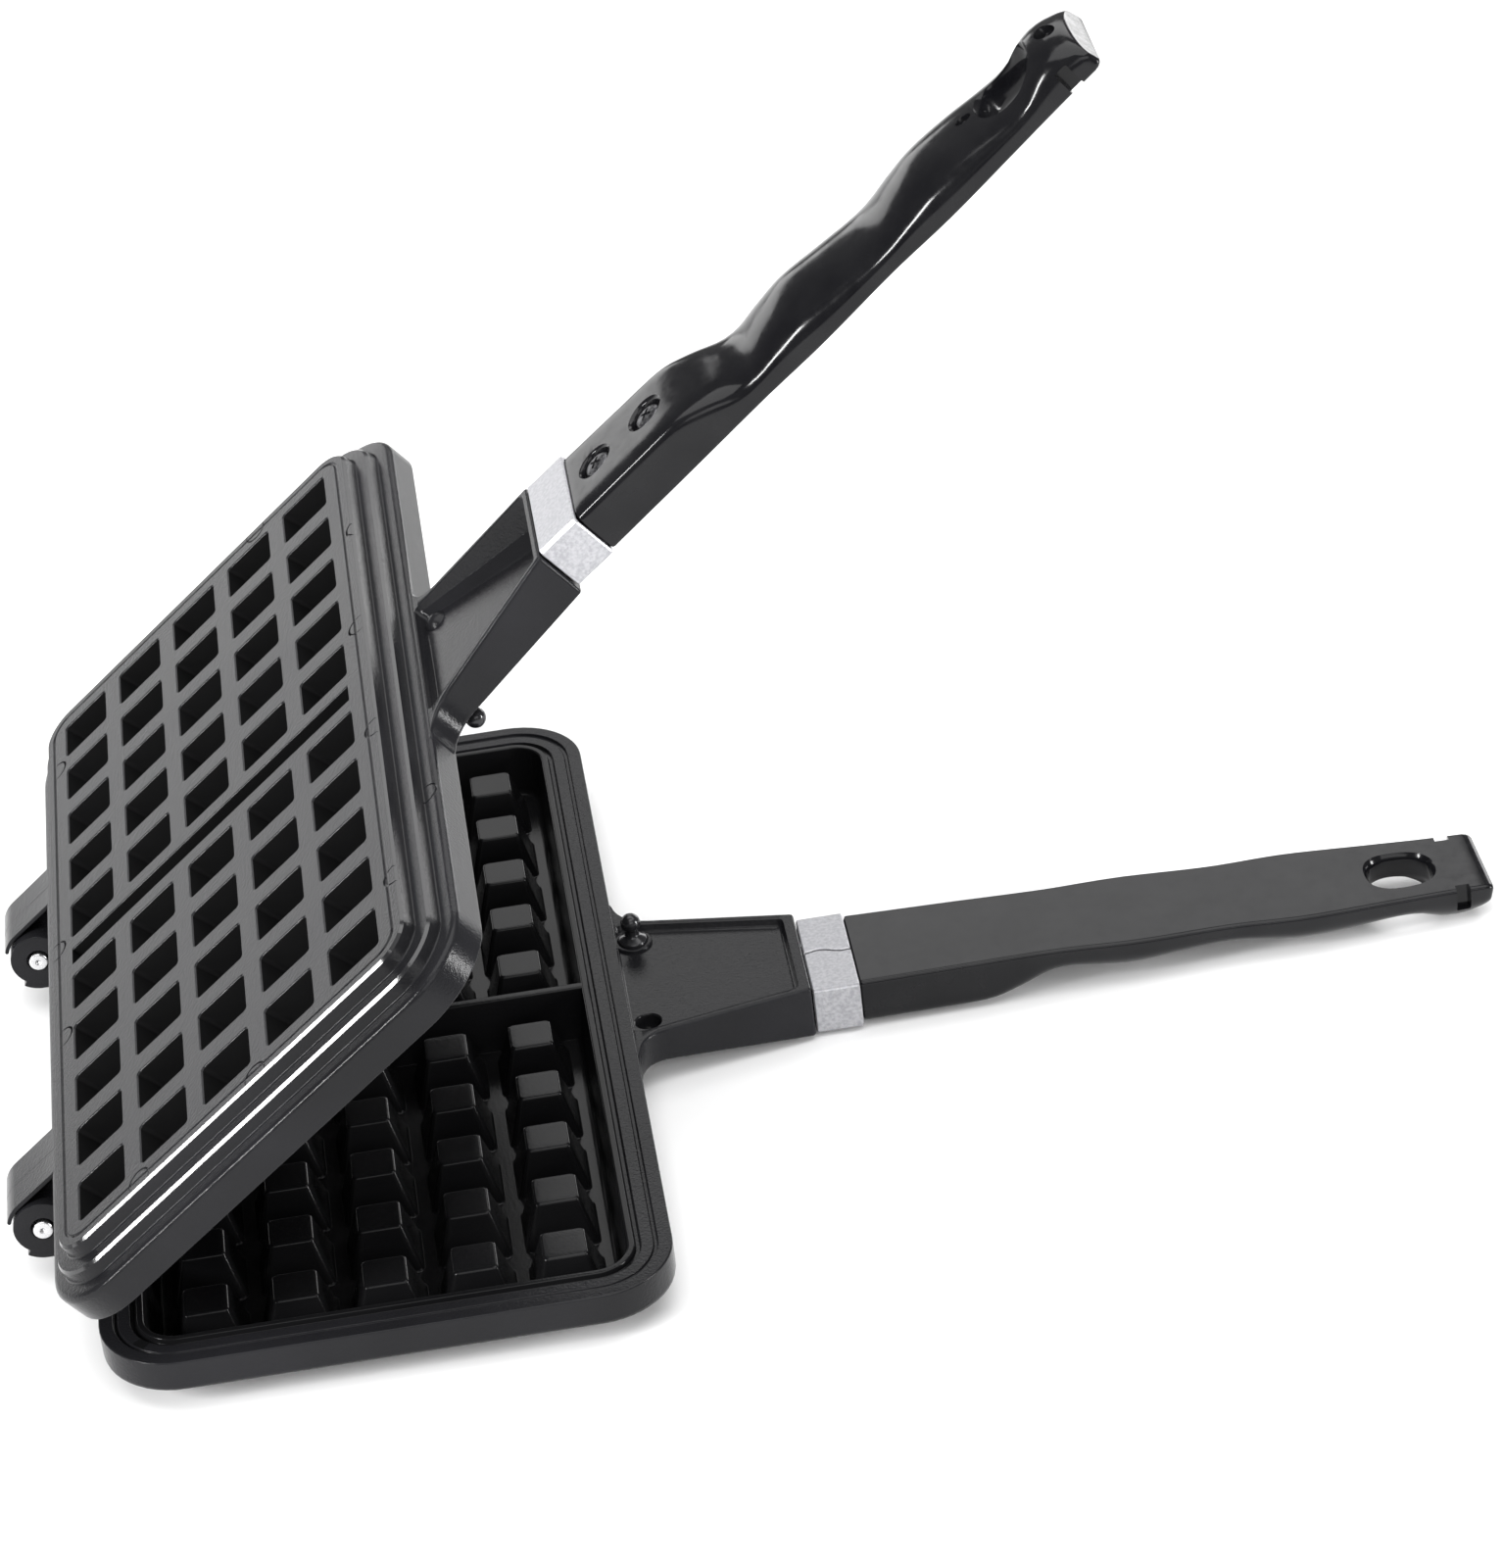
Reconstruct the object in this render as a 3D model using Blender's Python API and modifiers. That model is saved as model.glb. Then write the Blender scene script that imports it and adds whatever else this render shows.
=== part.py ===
"""Stovetop waffle iron: two identical die-cast halves hinged along one long edge.

Units are metres. +X runs along the handles, +Y along the hinge axis, +Z up.
Each half is drawn in its own closed frame in millimetres: z = 0 is the parting
plane, z < 0 is outwards, and (x, y) = (0, 0) is the middle of the waffle grid.
The lower half is placed as drawn. The upper one is the same shape turned over
about the handle direction and then swung open about the hinge axis.
"""

import math

import bmesh
import bpy
from mathutils import Matrix, Vector

MM = 0.001

# ---- driving dimensions, mm ----
OPEN_DEG = 38.7  # how far the lid stands open at rest
HINGE_X = -72.0  # hinge axis, from the grid's middle
PLATE_HX, PLATE_HY, PLATE_R = 60.8, 116.0, 17.0  # plate half sizes, corner radius
PLATEAU_Z = 14.2  # outermost level below the parting plane
FLOOR_Z = 12.2  # cooking floor
PITCH_X, PITCH_Y, MIDDLE = 19.06, 19.78, 9.3  # peg pitch, and extra room between waffles
COLS, ROWS = 5, 5
PEG_TOP_Z, PEG_TOP, PEG_FOOT = 1.6, 4.65, 7.95  # peg half widths
PEG_CUT = 0.9
CELL_MOUTH, CELL_END, CELL_END_Z, CELL_CUT = 6.85, 3.5, 3.7, 1.1  # hollow behind each peg
DIVIDER_TOP, DIVIDER_FOOT = 0.9, 4.0
KNUCKLE_R, COVER_IN, COVER_OUT = 6.5, 6.8, 7.8
COVER_END_DEG = 35.0  # how far the cover wraps past the flange face
PIN_R, PIN_GAP, PIN_LEN = 2.2, 0.3, 19.2
HINGE_SPLIT, HINGE_NEAR, HINGE_FAR = 53.0, 44.2, 61.8
ARM_END, ARM_TOP, WEB_IN, WEB_OUT = 101.6, 0.4, 2.0, 5.0
LOC_X, LOC_Y = 64.6, 16.1  # locating pin, and the hole it enters on the other half
LOC_HOLE_R = 2.8
TANG_END, TANG_HY, TANG_Z0, TANG_Z1 = 146.0, 8.5, 4.6, 9.8
FERRULE_X0, FERRULE_X1, FERRULE_HY = 101.95, 112.6, 14.9
FERRULE_Z0, FERRULE_Z1, SHEET = 1.7, 13.6, 0.8
HANDLE_X0, HANDLE_END = 112.9, 257.4
SCREW_X = (120.6, 135.8)
HEAD_R, SHANK_R = 3.3, 1.6
CORNER_SEG = 4


def clear_scene():
    for obj in list(bpy.data.objects):
        bpy.data.objects.remove(obj, do_unlink=True)
    for block in (bpy.data.meshes, bpy.data.materials, bpy.data.curves):
        for item in list(block):
            if item.users == 0:
                block.remove(item)


clear_scene()
SCENE = bpy.context.scene
SCENE.unit_settings.system = "METRIC"
SCENE.unit_settings.scale_length = 1.0
MODEL = bpy.data.collections.new("stovetop_waffle_iron")
SCENE.collection.children.link(MODEL)
CUTTERS = bpy.data.collections.new("stovetop_waffle_iron_cutters")
SCENE.collection.children.link(CUTTERS)


# ---- materials ----
def material(name, colour, metallic, roughness):
    mat = bpy.data.materials.new(name)
    mat.use_nodes = True
    shader = mat.node_tree.nodes["Principled BSDF"]
    shader.inputs["Base Color"].default_value = (*colour, 1.0)
    shader.inputs["Metallic"].default_value = metallic
    shader.inputs["Roughness"].default_value = roughness
    mat.diffuse_color = (*colour, 1.0)
    return mat


LOOKS = {
    "coat": ((0.055, 0.055, 0.06), 0.35, 0.38),
    "bakelite": ((0.016, 0.016, 0.018), 0.0, 0.24),
    "ferrule": ((0.78, 0.78, 0.80), 1.0, 0.12),
    "steel": ((0.66, 0.66, 0.67), 1.0, 0.25),
    "black_pin": ((0.03, 0.03, 0.033), 0.6, 0.15),
}


# ---- mesh tools, all in millimetres in the half's closed frame ----
def to_mesh(name, bm):
    bmesh.ops.recalc_face_normals(bm, faces=bm.faces)
    bmesh.ops.scale(bm, vec=(MM, MM, MM), verts=bm.verts)
    bmesh.ops.translate(bm, vec=(-HINGE_X * MM, 0.0, 0.0), verts=bm.verts)
    mesh = bpy.data.meshes.new(name)
    bm.to_mesh(mesh)
    bm.free()
    return mesh


def add_loft(bm, rings, cap_first=True, cap_last=True):
    """Joins rings of equal length into one skin, closed at each end."""
    rows = [[bm.verts.new(point) for point in ring] for ring in rings]
    for a, b in zip(rows, rows[1:]):
        n = len(a)
        for i in range(n):
            bm.faces.new((a[i], a[(i + 1) % n], b[(i + 1) % n], b[i]))
    if cap_first:
        bm.faces.new(list(reversed(rows[0])))
    if cap_last:
        bm.faces.new(rows[-1])


def rounded_rect(hx, hy, radius, z, cx=0.0, cy=0.0, seg=CORNER_SEG):
    ring = []
    for sx, sy, start in ((1, 1, 0), (-1, 1, 90), (-1, -1, 180), (1, -1, 270)):
        for k in range(seg + 1):
            a = math.radians(start + 90.0 * k / seg)
            ring.append(
                (
                    cx + sx * (hx - radius) + radius * math.cos(a),
                    cy + sy * (hy - radius) + radius * math.sin(a),
                    z,
                )
            )
    return ring


def cut_rect(hx, hy, cut, z, cx, cy):
    """A rectangle with its four corners cut off, eight points."""
    return [
        (cx + hx, cy - hy + cut, z),
        (cx + hx, cy + hy - cut, z),
        (cx + hx - cut, cy + hy, z),
        (cx - hx + cut, cy + hy, z),
        (cx - hx, cy + hy - cut, z),
        (cx - hx, cy - hy + cut, z),
        (cx - hx + cut, cy - hy, z),
        (cx + hx - cut, cy - hy, z),
    ]


def add_prism(bm, outline, along):
    """A flat outline extruded along a vector."""
    face = bm.faces.new([bm.verts.new(point) for point in outline])
    made = bmesh.ops.extrude_face_region(bm, geom=[face])["geom"]
    moved = [item for item in made if isinstance(item, bmesh.types.BMVert)]
    bmesh.ops.translate(bm, vec=along, verts=moved)


def add_prism_y(bm, outline, y0, y1):
    add_prism(bm, [(x, y0, z) for x, z in outline], (0.0, y1 - y0, 0.0))


def add_prism_x(bm, outline, x0, x1):
    add_prism(bm, [(x0, y, z) for y, z in outline], (x1 - x0, 0.0, 0.0))


def add_cone(bm, start, end, radius, radius_end=None, seg=18):
    """A cylinder, or a cone, between two points."""
    start, end = Vector(start), Vector(end)
    along = end - start
    turn = Vector((0.0, 0.0, 1.0)).rotation_difference(along).to_matrix().to_4x4()
    bmesh.ops.create_cone(
        bm,
        cap_ends=True,
        segments=seg,
        radius1=radius,
        radius2=radius if radius_end is None else radius_end,
        depth=along.length,
        matrix=Matrix.Translation((start + end) / 2.0) @ turn,
    )


def add_pyramid(bm, x, y, z0, half0, z1, half1, cut):
    """A square frustum from z0 to z1 with its upright edges cut."""
    before = set(bm.verts)
    up = z1 > z0
    bmesh.ops.create_cone(
        bm,
        cap_ends=True,
        segments=4,
        radius1=(half0 if up else half1) * math.sqrt(2.0),
        radius2=(half1 if up else half0) * math.sqrt(2.0),
        depth=abs(z1 - z0),
        matrix=Matrix.Translation((x, y, (z0 + z1) / 2.0))
        @ Matrix.Rotation(math.pi / 4.0, 4, "Z"),
    )
    made = [v for v in bm.verts if v not in before]
    edges = {e for v in made for e in v.link_edges}
    upright = [e for e in edges if abs(e.verts[0].co.z - e.verts[1].co.z) > 0.5]
    bmesh.ops.bevel(
        bm, geom=upright, offset=cut, segments=1, affect="EDGES", clamp_overlap=True
    )


def add_box(bm, x0, x1, hy, z0, z1, cut):
    """A box with all its edges cut."""
    before = set(bm.verts)
    bmesh.ops.create_cube(
        bm,
        size=1.0,
        matrix=Matrix.Translation(((x0 + x1) / 2.0, 0.0, (z0 + z1) / 2.0))
        @ Matrix.Diagonal((x1 - x0, 2.0 * hy, z1 - z0, 1.0)),
    )
    edges = {e for v in bm.verts if v not in before for e in v.link_edges}
    bmesh.ops.bevel(
        bm, geom=list(edges), offset=cut, segments=1, affect="EDGES", clamp_overlap=True
    )


def arc(cx, cz, radius, start, end, steps):
    return [
        (
            cx + radius * math.cos(math.radians(start + (end - start) * k / steps)),
            cz + radius * math.sin(math.radians(start + (end - start) * k / steps)),
        )
        for k in range(steps + 1)
    ]


def smooth(table, x):
    """Catmull-Rom through (x, value) pairs."""
    if x <= table[0][0]:
        return table[0][1]
    if x >= table[-1][0]:
        return table[-1][1]
    for i in range(len(table) - 1):
        (x1, p1), (x2, p2) = table[i], table[i + 1]
        if x <= x2:
            break
    x0, p0 = table[max(i - 1, 0)]
    x3, p3 = table[min(i + 2, len(table) - 1)]
    m1 = (p2 - p0) / (x2 - x0)
    m2 = (p3 - p1) / (x3 - x1)
    h = x2 - x1
    t = (x - x1) / h
    return (
        (2 * t**3 - 3 * t**2 + 1) * p1
        + (t**3 - 2 * t**2 + t) * h * m1
        + (-2 * t**3 + 3 * t**2) * p2
        + (t**3 - t**2) * h * m2
    )


# ---- the casting ----
SHELL = (  # (inset from the plate's edge, depth below the parting plane)
    (9.0, 14.2), (8.6, 13.7), (8.1, 11.1), (4.9, 10.9), (4.5, 10.3), (4.0, 8.0),
    (1.0, 7.8), (0.1, 6.9), (0.0, 6.0), (0.0, 0.5), (0.35, 0.15),
    (3.1, 0.15), (3.35, 0.85), (3.85, 0.85), (4.1, 0.45),
    (6.7, 0.45), (7.0, 1.3), (7.8, 1.3), (8.1, 0.3), (8.5, 0.15),
    (9.2, 0.15), (9.7, 0.55), (11.3, 11.3), (12.2, 12.2),
)  # fmt: skip


def row_y(row):
    side = 1.0 if row < ROWS else -1.0
    step = ROWS - 1 - row if row < ROWS else row - ROWS
    return side * (MIDDLE / 2.0 + PITCH_Y * (step + 0.5))


def col_x(col):
    return (col - (COLS - 1) / 2.0) * PITCH_X


def shell_mesh(name):
    bm = bmesh.new()
    add_loft(
        bm,
        [
            rounded_rect(
                PLATE_HX - inset, PLATE_HY - inset, max(PLATE_R - inset, 3.4), -depth
            )
            for inset, depth in SHELL
        ],
    )
    return to_mesh(name, bm)


def grid():
    return [(col_x(col), row_y(row)) for row in range(2 * ROWS) for col in range(COLS)]


def pegs_mesh(name):
    bm = bmesh.new()
    for x, y in grid():
        add_pyramid(
            bm, x, y, -FLOOR_Z - 0.5, PEG_FOOT, -PEG_TOP_Z, PEG_TOP, PEG_CUT
        )
    ridge = [
        (-DIVIDER_FOOT, -FLOOR_Z - 0.5), (DIVIDER_FOOT, -FLOOR_Z - 0.5),
        (DIVIDER_TOP + 0.5, -0.75), (DIVIDER_TOP, -0.25),
        (-DIVIDER_TOP, -0.25), (-DIVIDER_TOP - 0.5, -0.75),
    ]  # fmt: skip
    add_prism_x(bm, ridge, -PLATE_HX + 9.0, PLATE_HX - 9.0)
    return to_mesh(name, bm)


def cells_mesh(name):
    bm = bmesh.new()
    draft = (CELL_MOUTH - CELL_END) / (PLATEAU_Z - CELL_END_Z)
    for x, y in grid():
        mouth = CELL_MOUTH + 0.4 * draft
        add_pyramid(
            bm, x, y, -PLATEAU_Z - 0.4, mouth, -CELL_END_Z, CELL_END, CELL_CUT
        )
    slot = [
        (-3.1, -PLATEAU_Z - 0.4), (-0.55, -3.4), (0.55, -3.4), (3.1, -PLATEAU_Z - 0.4),
    ]  # fmt: skip
    add_prism_x(bm, slot, -45.0, 45.0)
    return to_mesh(name, bm)


# Half width of the arm in plan. It flares into the plate.
ARM = (
    (58.5, 33.0), (60.9, 31.5), (61.6, 28.6), (62.8, 26.2), (64.6, 24.3),
    (67.3, 22.9), (71.8, 21.9), (80.0, 20.2), (90.0, 18.2), (100.9, 16.1),
)  # fmt: skip


def arm_half(x):
    for (x0, h0), (x1, h1) in zip(ARM, ARM[1:]):
        if x <= x1:
            return h0 + (h1 - h0) * (x - x0) / (x1 - x0)
    return ARM[-1][1]


def arm_depth(x):
    return 8.0 + 0.135 * (x - 62.0)


def arm_mesh(name):
    bm = bmesh.new()
    rings = []
    for x, hy, c in [(x, h, 0.9) for x, h in ARM] + [(ARM_END, 15.5, 0.9)]:
        z0, z1 = -ARM_TOP, -arm_depth(x) + (0.35 if x < 61.0 else 0.0)
        if x > 101.0:
            z0, z1 = z0 - 0.4, z1 + 0.5
        rings.append(
            [
                (x, -hy + c, z0), (x, hy - c, z0), (x, hy, z0 - c), (x, hy, z1 + c),
                (x, hy - c, z1), (x, -hy + c, z1), (x, -hy, z1 + c), (x, -hy, z0 - c),
            ]  # fmt: skip
        )
    add_loft(bm, rings)
    return to_mesh(name, bm)


def tang_mesh(name):
    bm = bmesh.new()
    add_box(bm, 99.0, TANG_END, TANG_HY, -TANG_Z1, -TANG_Z0, 0.8)
    return to_mesh(name, bm)


def trapezoid(x0, x1, half0, half1, height, cut=1.2):
    """A closed loop across the arm, half0 wide at x0 and half1 at x1, corners cut."""
    slope = (half1 - half0) / (x1 - x0)
    right = [
        (x0, half0 - cut), (x0 + cut, half0 + slope * cut),
        (x1 - cut, half1 - slope * cut), (x1, half1 - cut),
    ]  # fmt: skip
    points = [(x, -y) for x, y in right] + list(reversed(right))
    return [(x, y, height(x)) for x, y in points]


def inner_pocket_mesh(name):
    bm = bmesh.new()
    add_loft(
        bm,
        [
            trapezoid(60.95, 98.9, 22.3, 14.2, lambda x: 0.5),
            trapezoid(61.0, 98.5, 21.6, 13.5, lambda x: -WEB_IN),
        ],
    )
    return to_mesh(name, bm)


def outer_pocket_mesh(name):
    """It narrows in two slopes from the rim down to the web."""
    bm = bmesh.new()
    add_loft(
        bm,
        [
            trapezoid(61.3, 99.8, 21.8, 14.6, lambda x: -arm_depth(x) - 1.0),
            trapezoid(61.5, 98.6, 21.2, 11.4, lambda x: -6.7),
            trapezoid(62.0, 96.6, 20.6, 6.6, lambda x: -WEB_OUT),
        ],
    )
    return to_mesh(name, bm)


def add_bowl(bm, profile):
    """A turned shape over the locating hole, from (radius, height) pairs."""
    turn = [2.0 * math.pi * k / 18 for k in range(18)]
    add_loft(
        bm,
        [
            [(LOC_X + r * math.cos(a), -LOC_Y + r * math.sin(a), z) for a in turn]
            for r, z in profile
        ],
    )


def dome_mesh(name):
    """The low dome that gives the locating hole its depth."""
    bm = bmesh.new()
    add_bowl(bm, ((1.4, -6.65), (2.1, -6.35), (2.7, -5.75), (3.1, -4.8), (3.1, -WEB_IN - 0.4)))
    return to_mesh(name, bm)


def lug_outlines():
    hx = HINGE_X
    inside = -PLATE_HX + 2.0
    end = 270.0 - COVER_END_DEG
    cover = (
        [(inside, -COVER_OUT)]
        + arc(hx, 0.0, COVER_OUT, 270.0, end, 5)
        + arc(hx, 0.0, COVER_IN, end, 270.0, 5)
        + [(inside, -COVER_IN)]
    )
    knuckle = (
        [(inside, -COVER_OUT)]
        + arc(hx, 0.0, COVER_OUT, 270.0, end, 5)
        + arc(hx, 0.0, KNUCKLE_R, end, -4.0, 14)
        + [(inside, -KNUCKLE_R * math.sin(math.radians(4.0)))]
    )
    return knuckle, cover


def knuckles_mesh(name):
    bm = bmesh.new()
    knuckle, _ = lug_outlines()
    add_prism_y(bm, knuckle, HINGE_NEAR, HINGE_SPLIT - 0.15)
    add_prism_y(bm, knuckle, -HINGE_FAR, -HINGE_SPLIT - 0.15)
    return to_mesh(name, bm)


def covers_mesh(name):
    bm = bmesh.new()
    _, cover = lug_outlines()
    add_prism_y(bm, cover, HINGE_SPLIT - 0.9, HINGE_FAR - 0.8)
    add_prism_y(bm, cover, -HINGE_SPLIT - 0.9, -HINGE_NEAR - 2.0)
    return to_mesh(name, bm)


def drill_mesh(name):
    """Hinge bores, the locating pin's socket, the hole it enters and the screw holes."""
    bm = bmesh.new()
    bore = PIN_R + PIN_GAP
    for y in (-HINGE_FAR - 1.0, HINGE_NEAR - 1.0):
        add_cone(bm, (HINGE_X, y, 0.0), (HINGE_X, y + 10.8, 0.0), bore, seg=16)
    add_cone(bm, (LOC_X, LOC_Y, -4.5), (LOC_X, LOC_Y, -1.0), 2.3)
    for x in SCREW_X:
        add_cone(bm, (x, 0.0, -11.0), (x, 0.0, -3.0), SHANK_R + 0.3, seg=12)
    return to_mesh(name, bm)


def hole_mesh(name):
    bm = bmesh.new()
    add_bowl(
        bm,
        ((1.0, -6.05), (1.9, -5.6), (2.5, -4.8), (LOC_HOLE_R, -3.9), (LOC_HOLE_R, -1.0)),
    )
    return to_mesh(name, bm)


# ---- ferrule ----
def sleeve_section(hy, z0, z1, chamfer, edge, gap):
    """Section from one side of the seam right round to the other, in (y, z)."""
    return [
        (gap, -z0), (hy - edge, -z0), (hy - 0.3 * edge, -z0 - 0.3 * edge),
        (hy, -z0 - edge), (hy, -z1 + chamfer), (hy - 0.25 * chamfer, -z1 + 0.45 * chamfer),
        (hy - chamfer, -z1), (-hy + chamfer, -z1),
        (-hy + 0.25 * chamfer, -z1 + 0.45 * chamfer), (-hy, -z1 + chamfer),
        (-hy, -z0 - edge), (-hy + 0.3 * edge, -z0 - 0.3 * edge),
        (-hy + edge, -z0), (-gap, -z0),
    ]  # fmt: skip


def ferrule_mesh(name):
    bm = bmesh.new()
    rings = []
    for x, inset in (
        (FERRULE_X0, 0.3), (FERRULE_X0 + 0.4, 0.0),
        (FERRULE_X1 - 0.4, 0.0), (FERRULE_X1, 0.3),
    ):  # fmt: skip
        outer = sleeve_section(
            FERRULE_HY - inset, FERRULE_Z0 + inset, FERRULE_Z1 - inset, 2.6, 1.0, 0.12
        )
        inner = sleeve_section(
            FERRULE_HY - SHEET, FERRULE_Z0 + SHEET, FERRULE_Z1 - SHEET, 2.3, 0.7, 0.12
        )
        rings.append([(x, y, z) for y, z in outer + list(reversed(inner))])
    add_loft(bm, rings, cap_first=False, cap_last=False)
    n = len(rings[0])
    bm.verts.ensure_lookup_table()
    for base, flip in ((0, False), (3 * n, True)):
        for i in range(n // 2 - 1):
            j = n - 1 - i
            quad = [bm.verts[base + k] for k in (i, i + 1, j - 1, j)]
            bm.faces.new(quad if flip else list(reversed(quad)))
    return to_mesh(name, bm)


# ---- handle ----
HANDLE_OUT = (  # depth of the outer surface along the handle
    (112.9, 13.4), (130.0, 13.5), (143.0, 13.5), (150.0, 12.2), (159.0, 9.7),
    (167.0, 11.0), (175.0, 12.0), (185.0, 11.0), (197.0, 9.9), (206.0, 11.6),
    (213.0, 12.6), (223.0, 12.2), (235.5, 10.7), (240.5, 11.3), (244.5, 13.2),
    (248.5, 14.0), (253.0, 13.3), (257.4, 11.4),
)  # fmt: skip
HANDLE_IN = ((112.9, 1.9), (150.0, 2.2), (200.0, 3.1), (257.4, 4.0))
HANDLE_HALF = (
    (112.9, 14.2), (135.0, 13.7), (158.0, 13.2), (176.0, 13.9), (197.0, 13.1),
    (214.0, 13.8), (233.0, 12.7), (246.0, 11.9), (257.4, 11.6),
)  # fmt: skip
SQUARENESS = ((112.9, 9.0), (140.0, 8.0), (149.0, 5.0), (158.0, 3.4), (257.4, 3.4))


END_LEAN = 1.8


def handle_section(x, hy, z0, z1, power):
    """D section: flat inner face, side, rounded outer face."""
    edge = 1.1
    side = z0 + 2.6
    points = [(-hy + edge, -z0), (hy - edge, -z0), (hy - 0.3, -z0 - 0.3), (hy, -z0 - edge)]
    steps = 9
    for k in range(steps):
        a = math.pi * k / (steps - 1)
        c, s = math.cos(a), math.sin(a)
        y = hy * math.copysign(abs(c) ** (2.0 / power), c)
        z = side + (z1 - side) * max(s, 0.0) ** (2.0 / power)
        points.append((y, -z))
    points += [(-hy, -z0 - edge), (-hy + 0.3, -z0 - 0.3)]
    # the end face leans back towards the outer side
    lean = END_LEAN * max(0.0, x - 250.0) / (HANDLE_END - 250.0)
    return [(x - lean * max(0.0, -z - 5.2) / 8.0, y, z) for y, z in points]


def handle_mesh(name):
    bm = bmesh.new()
    clear = SHEET + 0.25
    neck = (FERRULE_HY - clear, FERRULE_Z0 + clear, FERRULE_Z1 - clear, 7.0)
    rings = [handle_section(x, *neck) for x in (FERRULE_X0 + 0.3, HANDLE_X0 - 0.15)]
    stations = [HANDLE_X0, HANDLE_X0 + 0.5, 128.0, 141.0, 146.0, 150.0, 154.0, 158.0]
    stations += [164.5 + 6.6 * k for k in range(11)]
    stations += [237.0, 242.0, 246.0, 249.0, 253.0, 256.6, HANDLE_END]
    for x in stations:
        shrink = {HANDLE_X0: 0.35, 256.6: 0.25, HANDLE_END: 1.1}.get(x, 0.0)
        rings.append(
            handle_section(
                x,
                smooth(HANDLE_HALF, x) - shrink,
                smooth(HANDLE_IN, x) + shrink,
                smooth(HANDLE_OUT, x) - shrink,
                smooth(SQUARENESS, x),
            )
        )
    add_loft(bm, rings)
    return to_mesh(name, bm)


def tang_cavity_mesh(name):
    bm = bmesh.new()
    add_box(
        bm, 100.0, TANG_END + 0.35, TANG_HY + 0.3, -TANG_Z1 - 0.3, -TANG_Z0 + 0.3, 0.7
    )
    return to_mesh(name, bm)


def screw_bores_mesh(name):
    bm = bmesh.new()
    for x in SCREW_X:
        add_cone(bm, (x, 0.0, -11.7), (x, 0.0, -15.0), 3.8, 4.9, seg=16)
    return to_mesh(name, bm)


def shank_bores_mesh(name):
    bm = bmesh.new()
    for x in SCREW_X:
        add_cone(bm, (x, 0.0, -9.0), (x, 0.0, -12.2), SHANK_R + 0.3, seg=12)
    return to_mesh(name, bm)


def handle_holes_mesh(name):
    """The hanging hole and two shallow oval recesses on the outer face."""
    bm = bmesh.new()
    # hanging hole, wider towards the end, flared at both faces
    loops = []
    for z, grow in ((-16.0, 1.3), (-9.4, 0.0), (-5.9, 0.0), (-3.0, 1.2)):
        loop = []
        for k in range(18):
            a = 2.0 * math.pi * k / 18
            c, s = math.cos(a), math.sin(a)
            wide = 6.3 * (1.0 - 0.06 * c)
            loop.append(
                (
                    238.4 + (7.2 + grow) * math.copysign(abs(c) ** 0.8, c),
                    (wide + grow) * math.copysign(abs(s) ** 0.8, s),
                    z,
                )
            )
        loops.append(loop)
    add_loft(bm, loops)
    # two shallow oval recesses on the outer face
    for x, rx, ry, depth in ((227.5, 1.8, 1.4, 10.2), (252.0, 2.0, 2.4, 11.2)):
        add_loft(
            bm,
            [
                [
                    (
                        x + (rx + g) * math.cos(2.0 * math.pi * k / 14),
                        (ry + g) * math.sin(2.0 * math.pi * k / 14),
                        z,
                    )
                    for k in range(14)
                ]
                for z, g in ((-15.0, 0.3), (-depth, -0.2))
            ],
        )
    return to_mesh(name, bm)


def handle_grooves_mesh(name):
    """The grooves in both sides behind the end flange."""
    bm = bmesh.new()
    for y in (-12.75, 12.75):
        bmesh.ops.create_cube(
            bm,
            size=1.0,
            matrix=Matrix.Translation((250.3, y, -5.6)) @ Matrix.Diagonal((3.2, 6.5, 8.0, 1.0)),
        )
    return to_mesh(name, bm)


# ---- small hardware ----
# Profiles run from the top of the axis down the outer side: (radius, height).
SCREW_PROFILE = (
    (0.0, -5.0), (SHANK_R - 0.5, -5.0), (SHANK_R, -5.6), (SHANK_R, -12.0),
    (HEAD_R, -12.0), (HEAD_R, -12.3), (3.15, -12.7), (2.6, -13.1), (1.5, -13.25),
    (0.0, -13.3),
)  # fmt: skip
LOCATING_PROFILE = (
    (0.0, 5.8), (0.9, 5.65), (1.65, 5.1), (2.1, 4.3), (2.3, 3.5), (2.2, 2.6),
    (1.85, 1.8), (1.6, 0.9), (1.6, 0.2), (1.9, -0.3), (2.9, -0.6), (3.4, -1.1),
    (3.4, -1.7), (2.0, -1.7), (2.0, -4.0), (1.7, -4.3), (0.0, -4.3),
)  # fmt: skip
HINGE_PROFILE = (
    (0.0, PIN_LEN - 0.5), (0.7, PIN_LEN), (PIN_R - 0.3, PIN_LEN), (PIN_R, PIN_LEN - 0.3),
    (PIN_R, 0.3), (PIN_R - 0.3, 0.0), (0.7, 0.0), (0.0, 0.5),
)  # fmt: skip


def cross_mesh(name, x):
    bm = bmesh.new()
    outline = [
        (1.9, -0.38), (1.9, 0.38), (0.38, 0.38), (0.38, 1.9), (-0.38, 1.9), (-0.38, 0.38),
        (-1.9, 0.38), (-1.9, -0.38), (-0.38, -0.38), (-0.38, -1.9), (0.38, -1.9), (0.38, -0.38),
    ]  # fmt: skip
    turn = math.radians(35.0)
    c, s = math.cos(turn), math.sin(turn)
    add_loft(
        bm,
        [
            [(x + k * (u * c - v * s), k * (u * s + v * c), z) for u, v in outline]
            for z, k in ((-13.8, 1.0), (-12.2, 0.6))
        ],
    )
    return to_mesh(name, bm)


# ---- assembly ----
# The whole is shifted so that the middle of its bounding box's bottom is the origin.
SHIFT = (-88.957, 0.0, 14.2)


def frame(name, matrix):
    empty = bpy.data.objects.new(name, None)
    empty.empty_display_size = 0.02
    MODEL.objects.link(empty)
    empty.matrix_world = matrix
    return empty


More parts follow.
